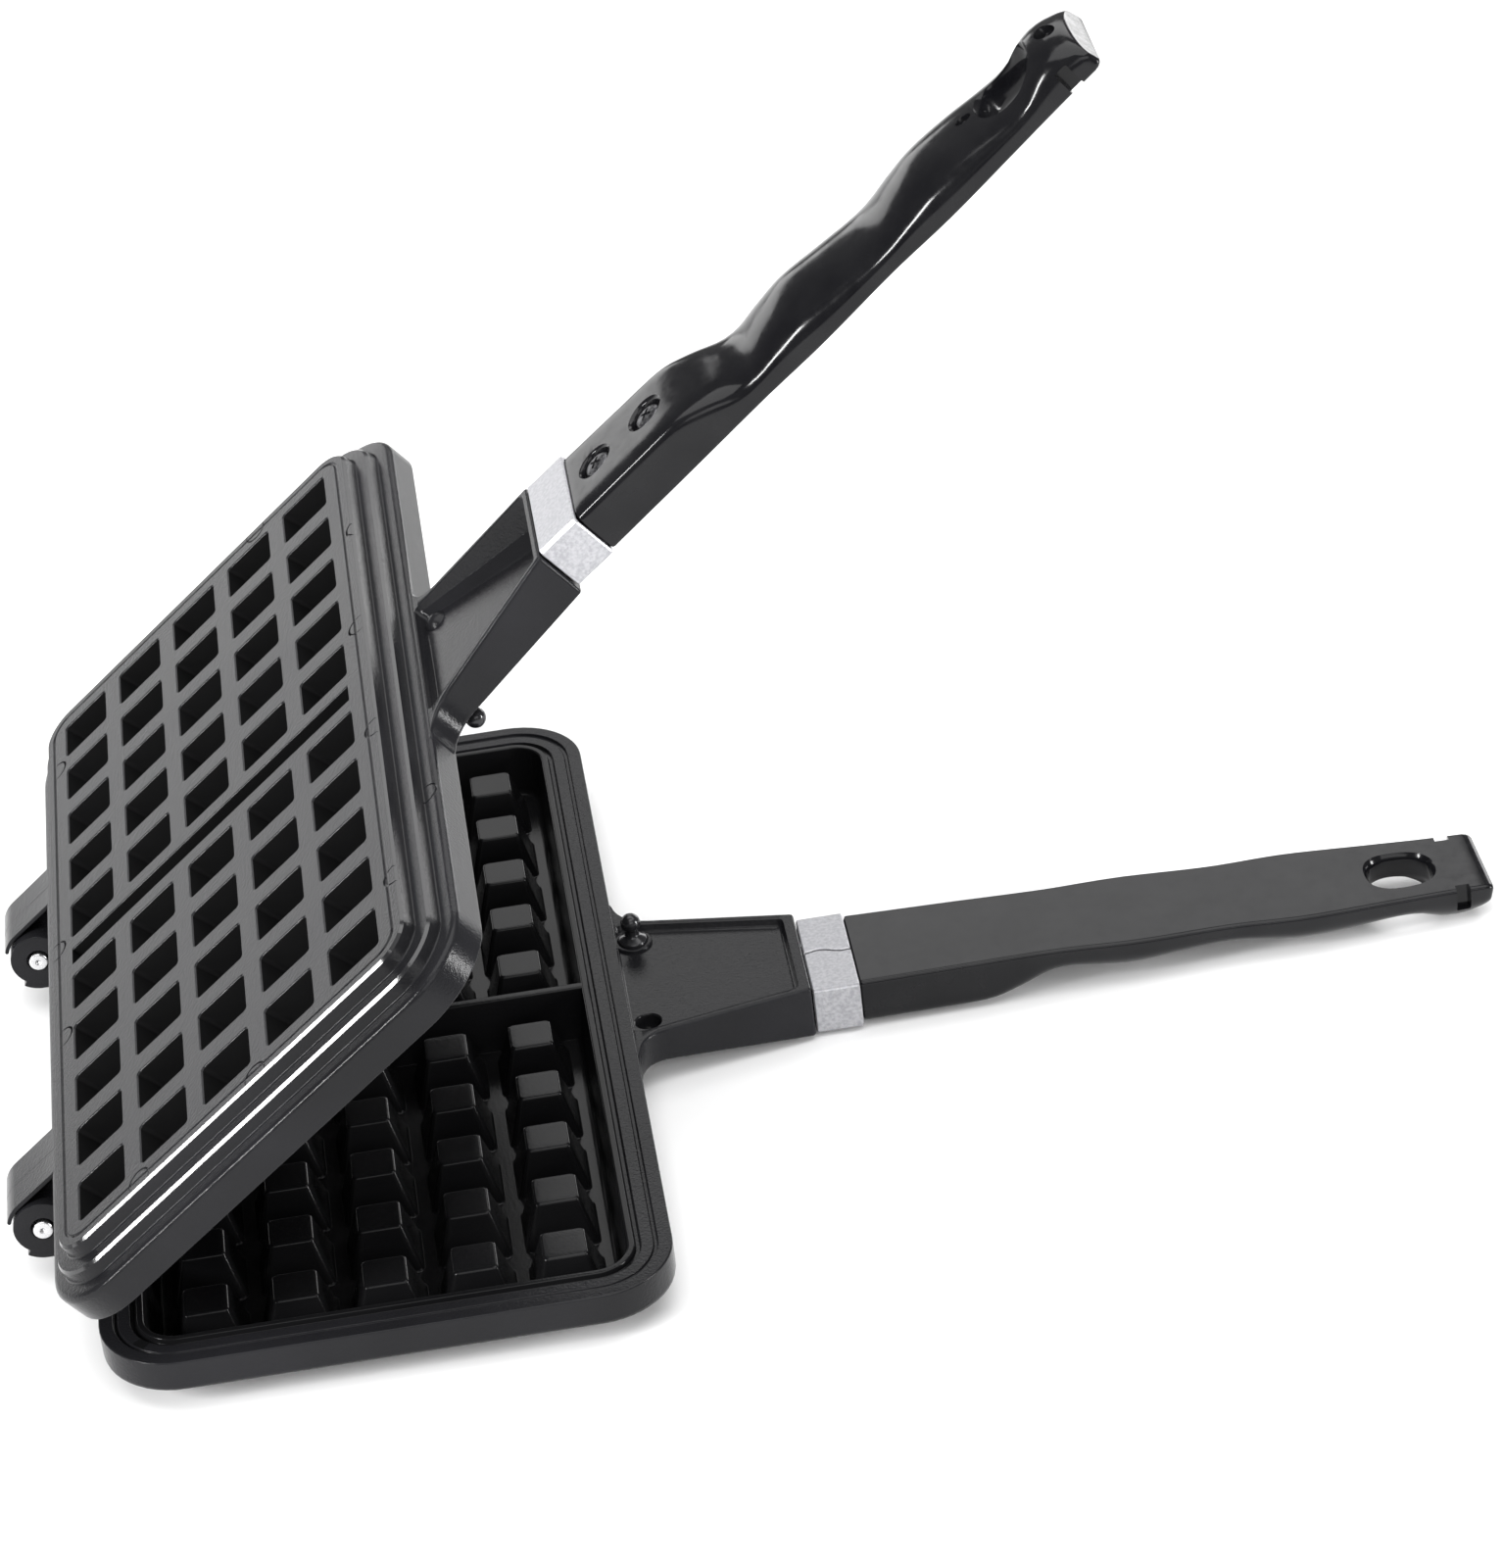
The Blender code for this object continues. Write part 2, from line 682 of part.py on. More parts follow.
def piece(name, mesh, parent, look):
    obj = bpy.data.objects.new(name, mesh)
    MODEL.objects.link(obj)
    obj.parent = parent
    colour, metallic, roughness = LOOKS[look]
    mesh.materials.append(material(name, colour, metallic, roughness))
    return obj


def turned(name, profile, centre, parent, look, steps=12):
    """A profile turned about its own Z axis, which stands at the centre."""
    bm = bmesh.new()
    verts = [bm.verts.new((r * MM, 0.0, z * MM)) for r, z in profile]
    for a, b in zip(verts, verts[1:]):
        bm.edges.new((a, b))
    mesh = bpy.data.meshes.new(name)
    bm.to_mesh(mesh)
    bm.free()
    obj = piece(name, mesh, parent, look)
    x, y, z = centre
    obj.location = ((x - HINGE_X) * MM, y * MM, z * MM)
    spin = obj.modifiers.new("turn", "SCREW")
    spin.axis = "Z"
    spin.angle = 2.0 * math.pi
    spin.steps = spin.render_steps = steps
    spin.use_merge_vertices = True
    spin.merge_threshold = 0.0001
    spin.use_smooth_shade = True
    return obj


def combine(obj, operation, mesh):
    helper = bpy.data.objects.new(obj.name + "_" + mesh.name, mesh)
    CUTTERS.objects.link(helper)
    helper.parent = obj.parent
    helper.hide_render = True
    helper.display_type = "WIRE"
    modifier = obj.modifiers.new(mesh.name, "BOOLEAN")
    modifier.operation = operation
    modifier.solver = "EXACT"
    modifier.object = helper


def build_half(side, parent):
    pan = piece(side + "_pan", shell_mesh(side + "_pan"), parent, "coat")
    combine(pan, "UNION", pegs_mesh("pegs"))
    combine(pan, "DIFFERENCE", cells_mesh("cells"))
    combine(pan, "UNION", arm_mesh("arm"))
    combine(pan, "DIFFERENCE", inner_pocket_mesh("inner_pocket"))
    combine(pan, "DIFFERENCE", outer_pocket_mesh("outer_pocket"))
    combine(pan, "UNION", dome_mesh("dome"))
    combine(pan, "UNION", tang_mesh("tang"))
    combine(pan, "UNION", knuckles_mesh("knuckles"))
    combine(pan, "UNION", covers_mesh("covers"))
    combine(pan, "DIFFERENCE", drill_mesh("drill"))
    combine(pan, "DIFFERENCE", hole_mesh("hole"))

    piece(side + "_ferrule", ferrule_mesh(side + "_ferrule"), parent, "ferrule")

    handle = piece(side + "_handle", handle_mesh(side + "_handle"), parent, "bakelite")
    combine(handle, "DIFFERENCE", tang_cavity_mesh("tang_cavity"))
    combine(handle, "DIFFERENCE", screw_bores_mesh("screw_bores"))
    combine(handle, "DIFFERENCE", shank_bores_mesh("shank_bores"))
    combine(handle, "DIFFERENCE", handle_holes_mesh("holes"))
    combine(handle, "DIFFERENCE", handle_grooves_mesh("grooves"))

    for label, x in zip(("front", "rear"), SCREW_X):
        screw = turned(
            side + "_screw_" + label, SCREW_PROFILE, (x, 0.0, 0.0), parent, "steel"
        )
        combine(screw, "DIFFERENCE", cross_mesh("cross", x))

    turned(
        side + "_locating_pin", LOCATING_PROFILE, (LOC_X, LOC_Y, 0.0), parent, "black_pin"
    )


AXIS = Matrix.Translation(Vector((HINGE_X * MM, 0.0, 0.0)))
MOVE = Matrix.Translation(Vector(SHIFT) * MM)
LOWER = frame("lower_frame", MOVE @ AXIS)
UPPER = frame(
    "upper_frame",
    MOVE
    @ AXIS
    @ Matrix.Rotation(-math.radians(OPEN_DEG), 4, "Y")
    @ Matrix.Rotation(math.pi, 4, "X"),
)
bpy.context.view_layer.update()
build_half("lower", LOWER)
build_half("upper", UPPER)
for label, y in (("far", 43.4), ("near", -43.4 - PIN_LEN)):
    pin = turned("hinge_pin_" + label, HINGE_PROFILE, (HINGE_X, y, 0.0), LOWER, "steel", 16)
    pin.rotation_euler = (-math.pi / 2.0, 0.0, 0.0)
bpy.context.view_layer.update()
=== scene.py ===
"""Looks for the stovetop waffle iron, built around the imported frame.

Shapes are drawn in millimetres in one half's closed frame, as in the CAD: z = 0 is
the parting plane, z < 0 is outwards, (0, 0) is the middle of the waffle grid. The
same casting serves both halves; the upper one is turned over and swung open.
"""

import math

import bmesh
import bpy
from mathutils import Matrix, Vector


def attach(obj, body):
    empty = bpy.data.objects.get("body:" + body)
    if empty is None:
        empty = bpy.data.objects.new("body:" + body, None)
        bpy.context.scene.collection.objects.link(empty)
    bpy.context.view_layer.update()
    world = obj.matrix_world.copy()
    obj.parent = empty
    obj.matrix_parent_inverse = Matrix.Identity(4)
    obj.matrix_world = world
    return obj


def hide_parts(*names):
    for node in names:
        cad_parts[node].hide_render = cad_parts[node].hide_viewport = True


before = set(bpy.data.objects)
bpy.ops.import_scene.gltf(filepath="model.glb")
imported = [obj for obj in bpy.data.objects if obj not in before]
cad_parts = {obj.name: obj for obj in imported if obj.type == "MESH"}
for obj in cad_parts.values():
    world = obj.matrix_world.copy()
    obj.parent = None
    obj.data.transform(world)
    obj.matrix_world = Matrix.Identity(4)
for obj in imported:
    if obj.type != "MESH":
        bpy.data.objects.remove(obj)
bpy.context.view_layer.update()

MM = 0.001
SHIFT = Vector((-88.957, 0.0, 14.2))
OPEN_DEG = 38.7
HINGE_X = -72.0
PLATE_HX, PLATE_HY, PLATE_R = 60.8, 116.0, 17.0
PLATEAU_Z, FLOOR_Z = 14.2, 12.2
PITCH_X, PITCH_Y, MIDDLE = 19.06, 19.78, 9.3
COLS, ROWS = 5, 5
KNUCKLE_R, COVER_IN, COVER_OUT, COVER_END_DEG = 6.5, 6.8, 7.8, 35.0
PIN_R, PIN_GAP, PIN_LEN = 2.2, 0.3, 19.2
HINGE_SPLIT, HINGE_NEAR, HINGE_FAR = 53.0, 44.2, 61.8
ARM_END, ARM_TOP, WEB_IN, WEB_OUT = 101.6, 0.4, 2.0, 5.0
LOC_X, LOC_Y, LOC_HOLE_R = 64.6, 16.1, 2.8
TANG_END, TANG_HY, TANG_Z0, TANG_Z1 = 146.0, 8.5, 4.6, 9.8
FERRULE_X0, FERRULE_X1, FERRULE_HY = 101.95, 112.6, 14.9
FERRULE_Z0, FERRULE_Z1, SHEET = 1.7, 13.6, 0.8
HANDLE_X0, HANDLE_END = 112.9, 257.4
SCREW_X = (120.6, 135.8)
HEAD_R, SHANK_R = 3.3, 1.6

TO_ROW = Matrix.Scale(MM, 4) @ Matrix.Translation(SHIFT)
HINGE = Matrix.Translation(Vector((HINGE_X, 0.0, 0.0)))
PLACE = {
    "lower": TO_ROW,
    "upper": TO_ROW
    @ HINGE
    @ Matrix.Rotation(-math.radians(OPEN_DEG), 4, "Y")
    @ Matrix.Rotation(math.pi, 4, "X")
    @ HINGE.inverted(),
}
BODY = {"lower": "lower_half", "upper": "upper_half"}
SCENE = bpy.context.scene


# ---------------------------------------------------------------- mesh tools
def add_loft(bm, rings, cap_first=True, cap_last=True):
    rows = [[bm.verts.new(point) for point in ring] for ring in rings]
    for a, b in zip(rows, rows[1:]):
        n = len(a)
        for i in range(n):
            bm.faces.new((a[i], a[(i + 1) % n], b[(i + 1) % n], b[i]))
    if cap_first:
        bm.faces.new(list(reversed(rows[0])))
    if cap_last:
        bm.faces.new(rows[-1])
    return rows


def rounded(points, seg=4):
    """A path of (u, v, radius) points with each corner rounded to its radius."""
    out = [tuple(points[0][:2])]
    for before, here, after in zip(points, points[1:], points[2:]):
        p = Vector(here[:2])
        a, b = Vector(before[:2]) - p, Vector(after[:2]) - p
        la, lb = a.length, b.length
        if here[2] <= 0 or la < 1e-6 or lb < 1e-6:
            out.append(tuple(p))
            continue
        turn = math.pi - a.angle(b)
        t = min(here[2] * math.tan(turn / 2.0), 0.48 * la, 0.48 * lb)
        a, b = p + a * (t / la), p + b * (t / lb)
        for k in range(seg + 1):
            s = k / seg
            out.append(tuple(a * (1 - s) ** 2 + p * (2 * s * (1 - s)) + b * s**2))
    out.append(tuple(points[-1][:2]))
    return out


def rounded_loop(points, seg=4):
    """The same for a closed outline."""
    closed = [points[-1]] + list(points) + [points[0]]
    return rounded(closed, seg)[1:-1]


def rounded_rect(hx, hy, radius, z, cx=0.0, cy=0.0, seg=4):
    ring = []
    for sx, sy, start in ((1, 1, 0), (-1, 1, 90), (-1, -1, 180), (1, -1, 270)):
        for k in range(seg + 1):
            a = math.radians(start + 90.0 * k / seg)
            ring.append(
                (
                    cx + sx * (hx - radius) + radius * math.cos(a),
                    cy + sy * (hy - radius) + radius * math.sin(a),
                    z,
                )
            )
    return ring


def add_turned(bm, profile, centre, axis="Z", seg=32):
    cx, cy, cz = centre
    rings = []
    for radius, height in profile:
        ring = []
        for k in range(seg):
            a = 2.0 * math.pi * (k + 0.5) / seg
            u, v = radius * math.cos(a), radius * math.sin(a)
            if axis == "Z":
                ring.append((cx + u, cy + v, cz + height))
            else:
                ring.append((cx + u, cy + height, cz - v))
        rings.append(ring)
    add_loft(bm, rings)


def arc(cx, cz, radius, start, end, steps):
    return [
        (
            cx + radius * math.cos(math.radians(start + (end - start) * k / steps)),
            cz + radius * math.sin(math.radians(start + (end - start) * k / steps)),
        )
        for k in range(steps + 1)
    ]


def smooth(table, x):
    """Catmull-Rom through (x, value) pairs."""
    if x <= table[0][0]:
        return table[0][1]
    if x >= table[-1][0]:
        return table[-1][1]
    for i in range(len(table) - 1):
        (x1, p1), (x2, p2) = table[i], table[i + 1]
        if x <= x2:
            break
    x0, p0 = table[max(i - 1, 0)]
    x3, p3 = table[min(i + 2, len(table) - 1)]
    m1 = (p2 - p0) / (x2 - x0)
    m2 = (p3 - p1) / (x3 - x1)
    h = x2 - x1
    t = (x - x1) / h
    return (
        (2 * t**3 - 3 * t**2 + 1) * p1
        + (t**3 - 2 * t**2 + t) * h * m1
        + (-2 * t**3 + 3 * t**2) * p2
        + (t**3 - t**2) * h * m2
    )


def temp_object(bm):
    bmesh.ops.recalc_face_normals(bm, faces=bm.faces)
    mesh = bpy.data.meshes.new("temp")
    bm.to_mesh(mesh)
    bm.free()
    obj = bpy.data.objects.new("temp", mesh)
    SCENE.collection.objects.link(obj)
    return obj


def carve(base, steps):
    """The base with each (operation, bmesh) step applied, as a new mesh."""
    made = [temp_object(base)]
    for operation, bm in steps:
        other = temp_object(bm)
        modifier = made[0].modifiers.new("b", "BOOLEAN")
        modifier.operation = operation
        modifier.solver = "EXACT"
        modifier.object = other
        made.append(other)
    bpy.context.view_layer.update()
    graph = bpy.context.evaluated_depsgraph_get()
    mesh = bpy.data.meshes.new_from_object(made[0].evaluated_get(graph))
    for obj in made:
        old = obj.data
        bpy.data.objects.remove(obj, do_unlink=True)
        bpy.data.meshes.remove(old)
    return mesh


def plain(bm):
    return carve(bm, [])


def pick_pan(centre, normal):
    """0 outside, 1 in the tray with its pegs, 2 painted shade: a near-black copy of the coat in the outer cells and
    on the peg sides, 3 painted highlight: a more reflective copy of the coat on the stepped edges' chamfers.
    """
    x, y, z = centre
    sloped = -0.85 < normal.z < -0.5 and max(abs(x) - PLATE_HX, abs(y) - PLATE_HY) > -10.0
    if sloped and x < 59.0 and (-14.19 < z < -13.6 or -10.9 < z < -10.25):
        return 3
    if z > -0.12 or z < -13.9 or abs(x) > 53.0 or abs(y) > 108.2:
        return 0
    if normal.z > 0.02:
        return 1
    return 2 if abs(x) < 47.5 and abs(y) < 103.2 else 0


def show(name, mesh, half, node, mats, pick=None, sharp=35.0, weighted=True):
    """Places a mesh drawn in the half's frame, in place of the CAD node."""
    mesh = mesh.copy()
    mesh.name = name
    mesh.materials.clear()
    for mat in mats:
        mesh.materials.append(mat)
    for face in mesh.polygons:
        face.material_index = pick(face.center, face.normal) if pick else 0
    mesh.transform(PLACE[half])
    mesh.shade_smooth()
    mesh.set_sharp_from_angle(angle=math.radians(sharp))
    obj = bpy.data.objects.new(name, mesh)
    SCENE.collection.objects.link(obj)
    if weighted:
        normals = obj.modifiers.new("normals", "WEIGHTED_NORMAL")
        normals.mode = "FACE_AREA"
        normals.weight = 50
        normals.keep_sharp = True
    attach(obj, BODY[half])
    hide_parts(node)
    return obj


# ---------------------------------------------------------------- materials
def principled(name, colour, metallic, roughness):
    mat = bpy.data.materials.new(name)
    mat.use_nodes = True
    tree = mat.node_tree
    shader = tree.nodes["Principled BSDF"]
    shader.inputs["Base Color"].default_value = (*colour, 1.0)
    shader.inputs["Metallic"].default_value = metallic
    shader.inputs["Roughness"].default_value = roughness
    return mat, tree, shader


def noise(tree, coords, scale, detail=3.0, rough=0.5, stretch=None):
    node = tree.nodes.new("ShaderNodeTexNoise")
    node.inputs["Scale"].default_value = scale
    node.inputs["Detail"].default_value = detail
    node.inputs["Roughness"].default_value = rough
    source = coords
    if stretch:
        mapping = tree.nodes.new("ShaderNodeMapping")
        mapping.inputs["Scale"].default_value = stretch
        tree.links.new(coords, mapping.inputs["Vector"])
        source = mapping.outputs["Vector"]
    tree.links.new(source, node.inputs["Vector"])
    return node.outputs["Fac"]


def ramp(tree, value, low, high, at_low, at_high):
    node = tree.nodes.new("ShaderNodeMapRange")
    node.inputs["From Min"].default_value = low
    node.inputs["From Max"].default_value = high
    node.inputs["To Min"].default_value = at_low
    node.inputs["To Max"].default_value = at_high
    tree.links.new(value, node.inputs["Value"])
    return node.outputs["Result"]


def mix_colour(tree, fac, a, b):
    node = tree.nodes.new("ShaderNodeMix")
    node.data_type = "RGBA"
    node.inputs["A"].default_value = (*a, 1.0)
    node.inputs["B"].default_value = (*b, 1.0)
    tree.links.new(fac, node.inputs["Factor"])
    return node.outputs["Result"]


def bump(tree, height, strength, distance, normal=None):
    node = tree.nodes.new("ShaderNodeBump")
    node.inputs["Strength"].default_value = strength
    node.inputs["Distance"].default_value = distance
    tree.links.new(height, node.inputs["Height"])
    if normal is not None:
        tree.links.new(normal, node.inputs["Normal"])
    return node.outputs["Normal"]


def object_coords(tree):
    return tree.nodes.new("ShaderNodeTexCoord").outputs["Object"]


def coat_material(name, dark, light, rough, grain_size):
    """Sprayed non-stick coating on a casting: fine orange peel, satin, a little uneven."""
    mat, tree, shader = principled(name, light, 0.0, rough)
    at = object_coords(tree)
    broad = noise(tree, at, 22.0, 3.0)
    fine = noise(tree, at, 1500.0, 2.0, 0.55)
    grain = noise(tree, at, 3800.0, 1.0, 0.5)
    colour = mix_colour(tree, ramp(tree, broad, 0.35, 0.65, 0.0, 1.0), dark, light)
    tree.links.new(colour, shader.inputs["Base Color"])
    wear = ramp(tree, broad, 0.3, 0.7, rough - 0.05, rough + 0.05)
    tree.links.new(wear, shader.inputs["Roughness"])
    normal = bump(tree, fine, 0.25 * grain_size, 0.00015)
    normal = bump(tree, grain, 0.3 * grain_size, 0.00006, normal)
    tree.links.new(normal, shader.inputs["Normal"])
    shader.inputs["Specular IOR Level"].default_value = 0.165
    return mat


def bakelite_material():
    """Moulded phenolic: glossy black with a faint ripple and fine dulling marks."""
    mat, tree, shader = principled("black_phenolic", (0.005, 0.005, 0.006), 0.0, 0.14)
    at = object_coords(tree)
    ripple = noise(tree, at, 90.0, 2.0)
    dull = noise(tree, at, 420.0, 4.0, 0.65)
    tree.links.new(ramp(tree, dull, 0.35, 0.7, 0.1, 0.2), shader.inputs["Roughness"])
    colour = mix_colour(
        tree, ramp(tree, ripple, 0.3, 0.7, 0.0, 1.0), (0.004, 0.004, 0.005), (0.008, 0.008, 0.009)
    )
    tree.links.new(colour, shader.inputs["Base Color"])
    normal = bump(tree, ripple, 0.10, 0.0004)
    normal = bump(tree, dull, 0.05, 0.00005, normal)
    tree.links.new(normal, shader.inputs["Normal"])
    shader.inputs["Specular IOR Level"].default_value = 0.24
    return mat


def ferrule_material():
    """Satin plated sheet with fine grain."""
    mat, tree, shader = principled("plated_ferrule", (0.5, 0.5, 0.52), 0.45, 0.4)
    at = object_coords(tree)
    lines = noise(tree, at, 700.0, 4.0, 0.7, (1.0, 6.0, 6.0))
    cloud = noise(tree, at, 1300.0, 3.0)
    tree.links.new(ramp(tree, cloud, 0.3, 0.7, 0.3, 0.44), shader.inputs["Roughness"])
    colour = mix_colour(tree, ramp(tree, cloud, 0.35, 0.65, 0.0, 1.0), (0.33, 0.33, 0.35), (0.46, 0.46, 0.48))
    tree.links.new(colour, shader.inputs["Base Color"])
    tree.links.new(bump(tree, lines, 0.12, 0.00004), shader.inputs["Normal"])
    return mat


def steel_material():
    mat, tree, shader = principled("plated_steel", (0.72, 0.72, 0.73), 1.0, 0.24)
    at = object_coords(tree)
    marks = noise(tree, at, 900.0, 4.0, 0.65)
    tree.links.new(ramp(tree, marks, 0.3, 0.7, 0.18, 0.36), shader.inputs["Roughness"])
    tree.links.new(bump(tree, marks, 0.1, 0.00004), shader.inputs["Normal"])
    return mat


def dark_screw_material():
    mat, tree, shader = principled("blackened_screw", (0.09, 0.09, 0.095), 0.9, 0.34)
    at = object_coords(tree)
    marks = noise(tree, at, 1100.0, 4.0, 0.65)
    colour = mix_colour(tree, ramp(tree, marks, 0.45, 0.75, 0.0, 1.0), (0.06, 0.06, 0.065), (0.24, 0.24, 0.25))
    tree.links.new(colour, shader.inputs["Base Color"])
    tree.links.new(ramp(tree, marks, 0.3, 0.7, 0.26, 0.45), shader.inputs["Roughness"])
    tree.links.new(bump(tree, marks, 0.15, 0.00005), shader.inputs["Normal"])
    return mat


def black_pin_material():
    mat, tree, shader = principled("black_pin", (0.02, 0.02, 0.022), 0.3, 0.18)
    at = object_coords(tree)
    marks = noise(tree, at, 800.0, 3.0, 0.6)
    tree.links.new(ramp(tree, marks, 0.3, 0.7, 0.12, 0.28), shader.inputs["Roughness"])
    tree.links.new(bump(tree, marks, 0.08, 0.00004), shader.inputs["Normal"])
    return mat


COAT = coat_material("coated_casting", (0.009, 0.009, 0.010), (0.014, 0.014, 0.016), 0.2, 1.5)
TRAY = coat_material("coated_tray", (0.005, 0.005, 0.0055), (0.008, 0.008, 0.0085), 0.2, 0.6)
# painted shade: a near-black, rough, weakly reflecting copy of the coat for the outer cells' insides and the peg
# sides, where shade falls
CELL_PAINTED_SHADE = coat_material("cells_painted_shade", (0.0015, 0.0015, 0.0016), (0.003, 0.003, 0.0032), 0.7, 0.6)
CELL_PAINTED_SHADE.node_tree.nodes["Principled BSDF"].inputs["Specular IOR Level"].default_value = 0.08
# painted highlight: a slightly lighter, glossier and far more reflective copy of the coat on the step chamfers, so
# that they show as bright lines
EDGE_PAINTED_HIGHLIGHT = coat_material("edges_painted_highlight", (0.010, 0.010, 0.011), (0.015, 0.015, 0.017), 0.17, 0.5)
EDGE_PAINTED_HIGHLIGHT.node_tree.nodes["Principled BSDF"].inputs["Specular IOR Level"].default_value = 0.62
BAKELITE = bakelite_material()
CHROME = ferrule_material()
STEEL = steel_material()
SCREW = dark_screw_material()
BLACK_PIN = black_pin_material()


# ---------------------------------------------------------------- the casting
SHELL = (  # (inset from the plate's edge, depth, corner radius)
    (15.0, 14.2, 0.0), (12.0, 14.2, 0.15), (11.8, 13.85, 0.15), (11.3, 13.85, 0.15),
    (11.1, 14.2, 0.15), (9.35, 14.2, 0.08), (8.78, 13.63, 0.08), (8.15, 11.0, 0.5),
    (5.2, 10.9, 0.08), (4.6, 10.3, 0.08), (4.0, 7.9, 0.5), (0.0, 7.8, 1.5), (0.0, 0.15, 0.4), (3.05, 0.15, 0.2),
    (3.25, 0.85, 0.15), (3.95, 0.85, 0.15), (4.15, 0.45, 0.15), (6.65, 0.45, 0.15),
    (6.95, 1.3, 0.2), (7.85, 1.3, 0.2), (8.15, 0.15, 0.25), (9.55, 0.15, 0.45),
    (11.4, 12.2, 1.6), (14.5, 12.2, 0.0),
)  # fmt: skip


def row_y(row):
    side = 1.0 if row < ROWS else -1.0
    step = ROWS - 1 - row if row < ROWS else row - ROWS
    return side * (MIDDLE / 2.0 + PITCH_Y * (step + 0.5))


def col_x(col):
    return (col - (COLS - 1) / 2.0) * PITCH_X


def grid():
    return [(col_x(col), row_y(row)) for row in range(2 * ROWS) for col in range(COLS)]


def shell():
    bm = bmesh.new()
    add_loft(
        bm,
        [
            rounded_rect(
                PLATE_HX - inset, PLATE_HY - inset, max(PLATE_R - inset, 2.4), -depth, seg=12
            )
            for inset, depth in rounded(SHELL, 3)
        ],
    )
    return bm


def pegs():
    bm = bmesh.new()
    path = rounded(
        ((9.25, -12.5, 0), (8.0, -12.2, 1.0), (4.75, -1.6, 0.7), (3.0, -1.6, 0)), 4
    )
    for x, y in grid():
        add_loft(
            bm,
            [
                rounded_rect(h, h, max(0.35, 1.0 + 0.22 * (h - 4.75)), z, x, y, 3)
                for h, z in path
            ],
        )
    ridge = rounded_loop(
        (
            (-4.6, -13.0, 0), (4.6, -13.0, 0), (3.9, -12.2, 1.2), (1.05, -0.25, 0.6),
            (-1.05, -0.25, 0.6), (-3.9, -12.2, 1.2),
        ),
        4,
    )  # fmt: skip
    add_loft(bm, [[(x, u, v) for u, v in ridge] for x in (-51.4, 51.4)])
    return bm


def cells():
    bm = bmesh.new()
    path = rounded(
        ((8.4, -14.5, 0), (6.95, -14.15, 0.7), (3.7, -3.7, 0.9), (2.2, -3.7, 0)), 4
    )
    for x, y in grid():
        add_loft(
            bm,
            [
                rounded_rect(h, h - 0.25, max(0.3, 0.75 + 0.1 * (h - 4.0)), z, x, y, 3)
                for h, z in path
            ],
        )
    slot = rounded_loop(
        (
            (-4.4, -14.5, 0), (-2.95, -14.15, 0.6), (-0.55, -3.4, 0.3), (0.55, -3.4, 0.3),
            (2.95, -14.15, 0.6), (4.4, -14.5, 0),
        ),
        4,
    )  # fmt: skip
    add_loft(bm, [[(x, u, v) for u, v in slot] for x in (-45.0, 45.0)])
    return bm


ARM = (
    (58.5, 33.0), (60.9, 31.5), (61.6, 28.6), (62.8, 26.2), (64.6, 24.3),
    (67.3, 22.9), (71.8, 21.9), (80.0, 20.2), (90.0, 18.2), (101.6, 15.85),
)  # fmt: skip


def arm_half(x):
    return smooth(ARM, x)


def arm_depth(x):
    return 8.0 + 0.135 * (x - 62.0)


def arm():
    bm = bmesh.new()
    rings = []
    xs = [58.5, 60.0, 60.7, 60.95, 61.2, 61.5, 61.9, 62.4, 63.0, 63.8, 64.7, 65.8, 67.2]
    xs += [69.2, 72.0, 76.0, 80.0, 85.0, 90.0, 95.0, 99.0, 100.9]
    for x, inset in [(x, 0.0) for x in xs] + [(101.25, 0.06), (101.5, 0.25), (ARM_END, 0.55)]:
        hy = arm_half(x) - inset
        z0, z1 = -ARM_TOP - inset, -arm_depth(x) + inset
        if x < 61.0:
            z0, z1 = z0 - 0.1, z1 + 0.2
        loop = rounded_loop(
            ((-hy, z0, 0.9), (hy, z0, 0.9), (hy, z1, 0.9), (-hy, z1, 0.9)), 4
        )
        rings.append([(x, y, z) for y, z in loop])
    add_loft(bm, rings)
    return bm


def tang():
    bm = bmesh.new()
    rings = []
    for x, inset in ((99.0, 0.0), (TANG_END - 0.8, 0.0), (TANG_END, 0.8)):
        hy, z0, z1 = TANG_HY - inset, -TANG_Z0 - inset, -TANG_Z1 + inset
        loop = rounded_loop(
            ((-hy, z0, 0.8), (hy, z0, 0.8), (hy, z1, 0.8), (-hy, z1, 0.8)), 3
        )
        rings.append([(x, y, z) for y, z in loop])
    add_loft(bm, rings)
    return bm


def trapezoid(x0, x1, half0, half1, radius, height, seg=5):
    loop = rounded_loop(
        (
            (x0, -half0, radius), (x1, -half1, radius),
            (x1, half1, radius), (x0, half0, radius),
        ),
        seg,
    )  # fmt: skip
    return [(x, y, height(x)) for x, y in loop]


def inner_pocket():
    bm = bmesh.new()
    rings = []
    for grow, z in ((1.1, 0.3), (0.45, -0.38), (0.15, -0.5), (0.0, -0.8), (-0.35, -1.5), (-0.75, -1.9), (-1.4, -WEB_IN)):
        rings.append(
            trapezoid(60.95 - 0.2 * grow, 98.9 + grow, 22.0 + grow, 14.0 + grow, 1.6 + 0.3 * grow, lambda x, z=z: z)
        )
    add_loft(bm, rings)
    return bm


def outer_pocket():
    bm = bmesh.new()
    rings = []
    for grow, rise in ((1.3, -0.75), (0.5, -0.02), (0.17, 0.12), (0.0, 0.45)):
        rings.append(
            trapezoid(
                61.35 - 0.5 * grow, 99.7 + grow, 21.7 + grow, 14.4 + grow, 1.3 + 0.3 * grow,
                lambda x, rise=rise: -arm_depth(x) + rise,
            )
        )  # fmt: skip
    for x0, x1, h0, h1, z in (
        (61.45, 98.75, 21.35, 11.9, -7.0), (61.5, 98.5, 21.15, 11.3, -6.7),
        (61.75, 97.9, 20.75, 10.2, -6.4),
        (62.0, 97.0, 20.3, 7.3, -5.3), (62.3, 96.2, 19.9, 6.3, -WEB_OUT),
    ):  # fmt: skip
        rings.append(trapezoid(x0, x1, h0, h1, 1.2, lambda x, z=z: z))
    add_loft(bm, rings)
    return bm


